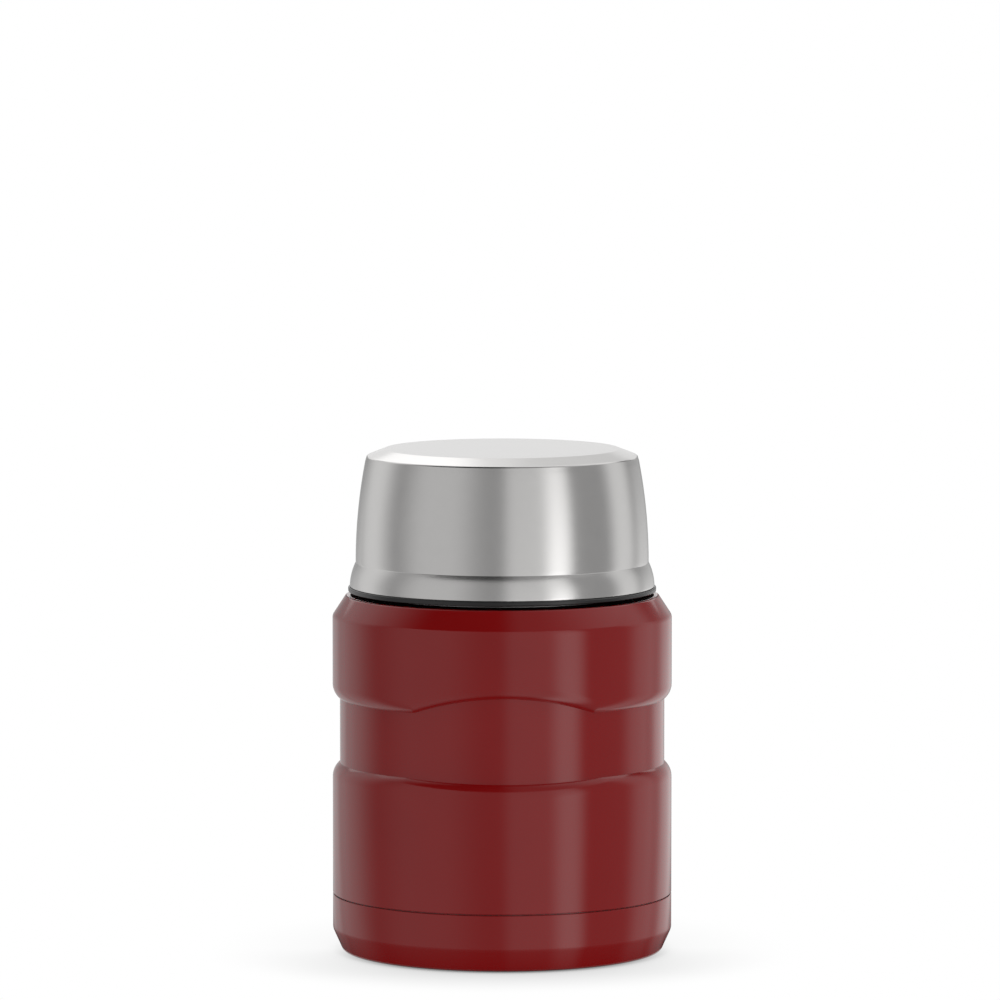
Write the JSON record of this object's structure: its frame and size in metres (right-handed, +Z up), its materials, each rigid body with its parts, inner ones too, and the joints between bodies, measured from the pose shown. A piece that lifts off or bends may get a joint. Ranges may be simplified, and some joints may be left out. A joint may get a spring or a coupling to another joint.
{
  "type": "insulated food jar",
  "caption": "Insulated food jar: waisted painted vacuum body with an arched front panel, a screw stopper that stows a folding spoon, and a brushed steel cup lid that screws over it.",
  "frame": {"origin": "on the jar's axis, in the plane of the ring that it stands on", "axes": "+Z up along the jar's axis; the front panel with the arched top faces -Y; +X to the right as seen from the front"},
  "size_m": [0.095, 0.095, 0.141],
  "materials": {
    "red_paint": "satin",
    "brushed_steel": "brushed",
    "bare_steel": "satin",
    "foil": "bright",
    "getter_metal": "sintered",
    "black_plastic": "fine matt",
    "grey_silicone": "soft",
    "white_foam": "foam"
  },
  "bodies": {
    "jar": {"outer_shell": "red_paint", "base_cup": "red_paint", "vessel_bottom": "bare_steel", "vacuum_plug": "bare_steel", "getter_pellet": "getter_metal", "inner_liner": "bare_steel", "heat_shield": "foil", "threaded_neck": "bare_steel"},
    "seal_ring": {"stopper_seal": "grey_silicone"},
    "stopper": {"stopper_cap": "black_plastic", "stopper_plug": "black_plastic", "stopper_foam": "white_foam", "spoon_bowl": "brushed_steel", "spoon_handle": "brushed_steel", "spoon_rivet": "bare_steel"},
    "lid_disc": {"lid_foam": "white_foam"},
    "lid": {"lid_shell": "brushed_steel", "lid_liner": "black_plastic"}
  },
  "joints": [
    {"name": "stopper_rise", "type": "slide", "parent": "jar", "child": "seal_ring", "axis": [0, 0, 1], "range_m": [0, 0.0181]},
    {"name": "stopper_turn", "type": "hinge", "parent": "seal_ring", "child": "stopper", "pos_m": [0, 0, 0.11], "axis": [0, 0, 1], "range_deg": [0, 540]},
    {"name": "lid_rise", "type": "slide", "parent": "stopper", "child": "lid_disc", "axis": [0, 0, 1], "range_m": [0, 0.0241]},
    {"name": "lid_turn", "type": "hinge", "parent": "lid_disc", "child": "lid", "pos_m": [0, 0, 0.12], "axis": [0, 0, 1], "range_deg": [0, 720]}
  ],
  "couplings": [
    {"joint": "stopper_rise", "follows": "stopper_turn", "m_per_rad": 0.0019099},
    {"joint": "lid_rise", "follows": "lid_turn", "m_per_rad": 0.0019099}
  ]
}
